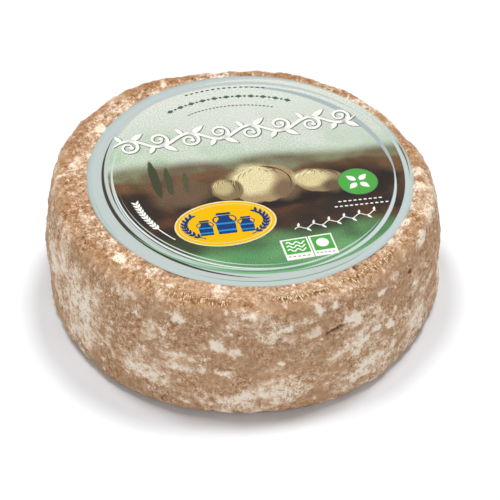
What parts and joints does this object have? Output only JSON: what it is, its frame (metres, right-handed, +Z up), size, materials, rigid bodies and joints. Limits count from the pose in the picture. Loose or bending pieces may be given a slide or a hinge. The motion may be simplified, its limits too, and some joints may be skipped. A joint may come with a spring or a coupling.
{
  "type": "goat tomme cheese",
  "caption": "Whole wheel of ripened goat cheese: a low drum with bulging sides, rounded edges, a natural rind and a round paper label on its gently sloping top.",
  "frame": {"origin": "middle of the flat foot that the wheel lies on", "axes": "+Z up through the drum, from foot to top face; the top face slopes down towards +X; -Y is the side that the label's picture reads from"},
  "size_m": [0.201, 0.1989, 0.0724],
  "materials": {
    "rind": "dry, rough natural rind in brown and buff, with pale mould",
    "label_paper": "coated printed paper, low gloss"
  },
  "bodies": {
    "root": {"wheel": "rind", "label": "label_paper"}
  },
  "joints": []
}
